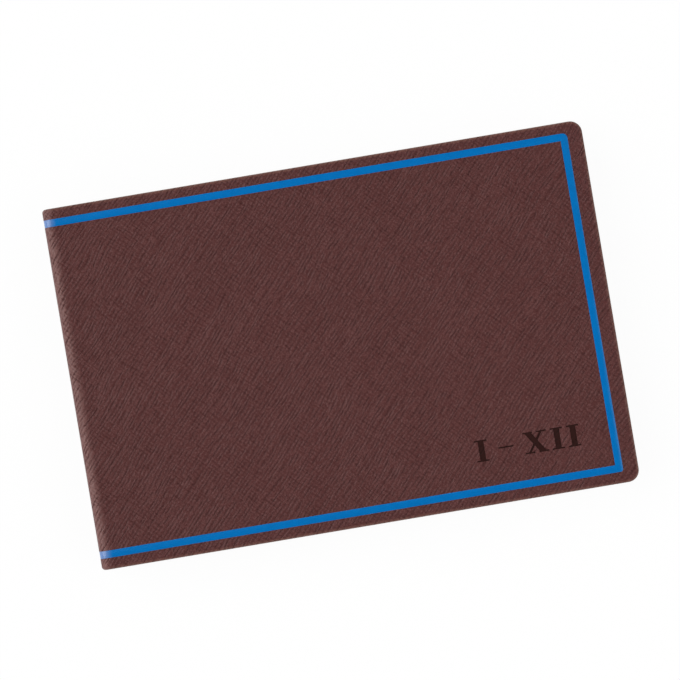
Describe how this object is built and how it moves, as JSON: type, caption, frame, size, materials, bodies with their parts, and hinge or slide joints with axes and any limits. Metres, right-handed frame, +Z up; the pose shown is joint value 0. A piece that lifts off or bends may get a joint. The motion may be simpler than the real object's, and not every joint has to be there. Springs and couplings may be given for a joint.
{
  "type": "paper planner",
  "caption": "Landscape pocket diary with grained leatherette covers, an inlaid border line, rounded fore corners and sewn leaves that open flat with the cover.",
  "frame": {"origin": "on the table, under the middle of the back cover of the closed diary", "axes": "+X from the spine to the fore-edge, +Y to the head, +Z up, out of the front cover"},
  "size_m": [0.15, 0.1004, 0.0125],
  "materials": {
    "leatherette": "satin, cross-grained",
    "border_line": "smooth satin",
    "board": "matte",
    "endpaper": "matte",
    "leaves": "matte",
    "gauze": "open weave",
    "end_band": "sewn, striped",
    "sewing_thread": "twisted"
  },
  "bodies": {
    "back_cover": {"back_cover_skin": "leatherette", "back_board": "board", "back_pastedown": "endpaper", "back_line": "border_line"},
    "spine": {"spine_skin": "leatherette", "spine_card": "board", "spine_head_line": "border_line", "spine_tail_line": "border_line", "spine_lining": "gauze", "headband": "end_band", "tailband": "end_band"},
    "front_cover": {"front_cover_skin": "leatherette", "front_board": "board", "front_pastedown": "endpaper", "front_line": "border_line"},
    "leaves_01": {"section_01": "leaves", "thread_01": "sewing_thread", "front_flyleaf": "endpaper"},
    "leaves_02": {"section_02": "leaves", "thread_02": "sewing_thread"},
    "leaves_03": {"section_03": "leaves", "thread_03": "sewing_thread"},
    "leaves_04": {"section_04": "leaves", "thread_04": "sewing_thread"},
    "leaves_05": {"section_05": "leaves", "thread_05": "sewing_thread"},
    "leaves_06": {"section_06": "leaves", "thread_06": "sewing_thread"},
    "leaves_07": {"section_07": "leaves", "thread_07": "sewing_thread"},
    "leaves_08": {"section_08": "leaves", "thread_08": "sewing_thread"},
    "leaves_09": {"section_09": "leaves", "thread_09": "sewing_thread"},
    "leaves_10": {"section_10": "leaves", "thread_10": "sewing_thread", "rear_flyleaf": "endpaper"}
  },
  "joints": [
    {"name": "spine_hinge", "type": "hinge", "parent": "back_cover", "child": "spine", "pos_m": [-0.07436, 0, 0.00064], "axis": [0, -1, 0], "range_deg": [0, 90]},
    {"name": "front_cover_hinge", "type": "hinge", "parent": "spine", "child": "front_cover", "pos_m": [-0.07436, 0, 0.01181], "axis": [0, -1, 0], "range_deg": [0, 90]},
    {"name": "leaves_01_turn", "type": "hinge", "parent": "back_cover", "child": "leaves_01", "pos_m": [-0.07286, 0, 0.00622], "axis": [0, -1, 0], "range_deg": [0, 179.46]},
    {"name": "leaves_02_turn", "type": "hinge", "parent": "back_cover", "child": "leaves_02", "pos_m": [-0.07286, 0, 0.00622], "axis": [0, -1, 0], "range_deg": [0, 178.74]},
    {"name": "leaves_03_turn", "type": "hinge", "parent": "back_cover", "child": "leaves_03", "pos_m": [-0.07286, 0, 0.00622], "axis": [0, -1, 0], "range_deg": [0, 177.93]},
    {"name": "leaves_04_turn", "type": "hinge", "parent": "back_cover", "child": "leaves_04", "pos_m": [-0.07286, 0, 0.00622], "axis": [0, -1, 0], "range_deg": [0, 177.03]},
    {"name": "leaves_05_turn", "type": "hinge", "parent": "back_cover", "child": "leaves_05", "pos_m": [-0.07286, 0, 0.00622], "axis": [0, -1, 0], "range_deg": [0, 175.95]},
    {"name": "leaves_06_turn", "type": "hinge", "parent": "back_cover", "child": "leaves_06", "pos_m": [-0.07286, 0, 0.00622], "axis": [0, -1, 0], "range_deg": [0, 4.05]},
    {"name": "leaves_07_turn", "type": "hinge", "parent": "back_cover", "child": "leaves_07", "pos_m": [-0.07286, 0, 0.00622], "axis": [0, -1, 0], "range_deg": [0, 2.97]},
    {"name": "leaves_08_turn", "type": "hinge", "parent": "back_cover", "child": "leaves_08", "pos_m": [-0.07286, 0, 0.00622], "axis": [0, -1, 0], "range_deg": [0, 2.07]},
    {"name": "leaves_09_turn", "type": "hinge", "parent": "back_cover", "child": "leaves_09", "pos_m": [-0.07286, 0, 0.00622], "axis": [0, -1, 0], "range_deg": [0, 1.26]},
    {"name": "leaves_10_turn", "type": "hinge", "parent": "back_cover", "child": "leaves_10", "pos_m": [-0.07286, 0, 0.00622], "axis": [0, -1, 0], "range_deg": [0, 0.54]}
  ],
  "couplings": [
    {"joint": "front_cover_hinge", "follows": "spine_hinge", "ratio": 1},
    {"joint": "leaves_01_turn", "follows": "spine_hinge", "ratio": 1.994},
    {"joint": "leaves_02_turn", "follows": "spine_hinge", "ratio": 1.986},
    {"joint": "leaves_03_turn", "follows": "spine_hinge", "ratio": 1.977},
    {"joint": "leaves_04_turn", "follows": "spine_hinge", "ratio": 1.967},
    {"joint": "leaves_05_turn", "follows": "spine_hinge", "ratio": 1.955},
    {"joint": "leaves_06_turn", "follows": "spine_hinge", "ratio": 0.045},
    {"joint": "leaves_07_turn", "follows": "spine_hinge", "ratio": 0.033},
    {"joint": "leaves_08_turn", "follows": "spine_hinge", "ratio": 0.023},
    {"joint": "leaves_09_turn", "follows": "spine_hinge", "ratio": 0.014},
    {"joint": "leaves_10_turn", "follows": "spine_hinge", "ratio": 0.006}
  ]
}
